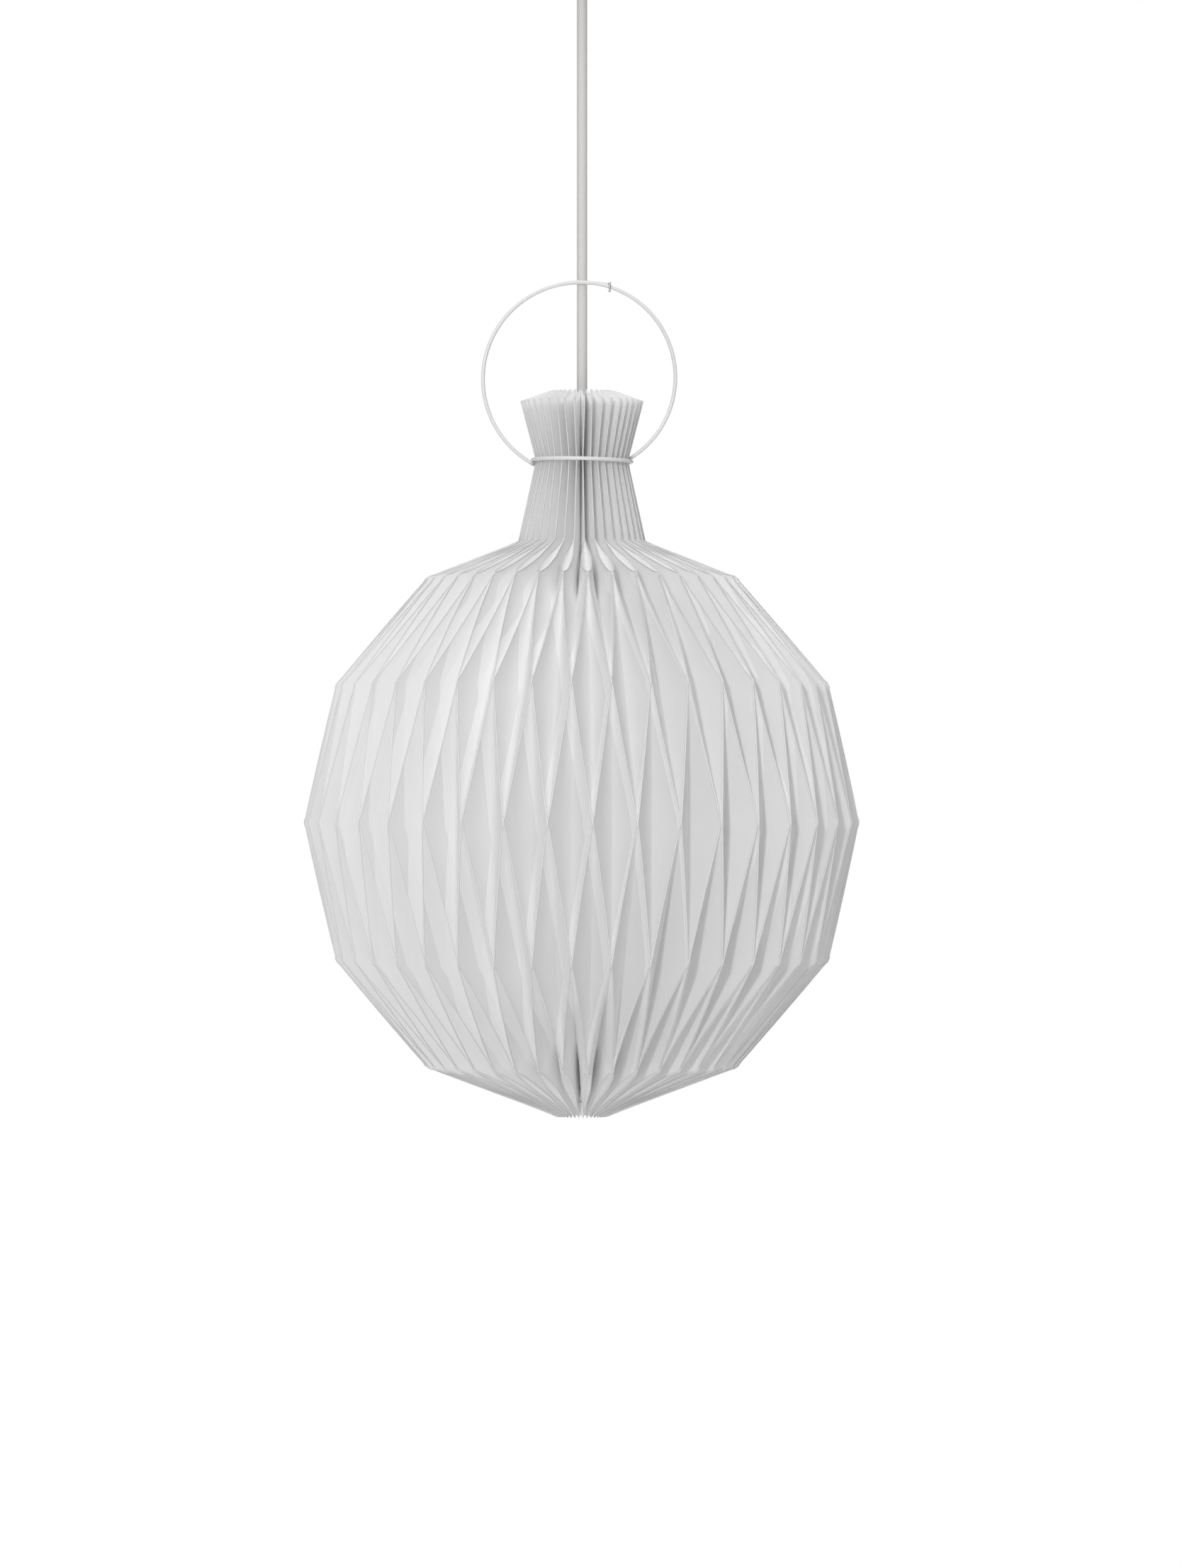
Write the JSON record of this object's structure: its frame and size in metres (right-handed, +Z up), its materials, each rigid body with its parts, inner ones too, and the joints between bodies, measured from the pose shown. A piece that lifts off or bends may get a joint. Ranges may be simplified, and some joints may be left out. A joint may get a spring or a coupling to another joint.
{
  "type": "pleated pendant lantern lamp",
  "caption": "White cross-pleated lantern lampshade hanging on a round cord from a ceiling bracket and cup, with a ring-shaped wire handle hooked round its pleated neck.",
  "frame": {"origin": "middle of the ceiling bracket's face on the ceiling", "axes": "+Z up, away from the lamp; +X to the right and -Y to the viewer of the lamp's front"},
  "size_m": [0.3398, 0.3398, 0.745],
  "materials": {
    "shade_sheet": "matte, translucent, plastic-coated",
    "wire_sleeve": "satin",
    "wire_core": "white lacquer",
    "cord_jacket": "satin extruded jacket",
    "white_plastic": "moulded, fine texture",
    "bracket_steel": "zinc plated",
    "brass": "turned",
    "cap_metal": "rolled",
    "insulator": "unglazed",
    "terminal_plastic": "natural",
    "brown_insulation": "satin",
    "blue_insulation": "satin",
    "tie_thread": "twisted thread",
    "opal_glass": "opal, satin"
  },
  "bodies": {
    "ceiling": {"ceiling_bracket": "bracket_steel", "cord_saddle": "white_plastic", "saddle_screws": "bracket_steel", "terminal_block": "terminal_plastic", "terminal_inserts": "brass", "terminal_screws": "brass", "block_fixing_screw": "bracket_steel", "conductor_live": "brown_insulation", "conductor_neutral": "blue_insulation", "cord_top": "cord_jacket"},
    "canopy": {"canopy_cup": "white_plastic", "canopy_cord_grip": "white_plastic", "canopy_grub_screw": "bracket_steel"},
    "cord_bend": {"cord_link": "cord_jacket"},
    "lamp": {"cord_main": "cord_jacket", "holder_cord_grip": "white_plastic", "shade_collar": "white_plastic", "holder_cap": "white_plastic", "holder_skirt": "white_plastic", "holder_insert": "insulator", "thread_shell": "cap_metal", "centre_contact": "brass", "holder_conductors": "brown_insulation", "pleated_shade": "shade_sheet", "bottom_tie": "tie_thread"},
    "bulb": {"bulb_dome": "opal_glass", "bulb_body": "white_plastic", "bulb_screw_cap": "cap_metal", "bulb_tip": "brass"},
    "handle": {"handle_wire": "wire_core", "handle_sleeve": "wire_sleeve"}
  },
  "joints": [
    {"name": "canopy_slide", "type": "slide", "parent": "ceiling", "child": "canopy", "axis": [0, 0, -1], "range_m": [0, 0.03]},
    {"name": "swing_side", "type": "hinge", "parent": "ceiling", "child": "cord_bend", "pos_m": [0, 0, -0.095], "axis": [0, 1, 0], "range_deg": [-15, 15], "deforming": ["cord_link"]},
    {"name": "swing_front", "type": "hinge", "parent": "cord_bend", "child": "lamp", "pos_m": [0, 0, -0.101], "axis": [1, 0, 0], "range_deg": [-15, 15]},
    {"name": "bulb_out", "type": "slide", "parent": "lamp", "child": "bulb", "axis": [0, 0, -1], "range_m": [0, 0.03]},
    {"name": "handle_turn", "type": "hinge", "parent": "lamp", "child": "handle", "pos_m": [0, 0, -0.3438], "axis": [0, 0, 1], "continuous": true}
  ]
}
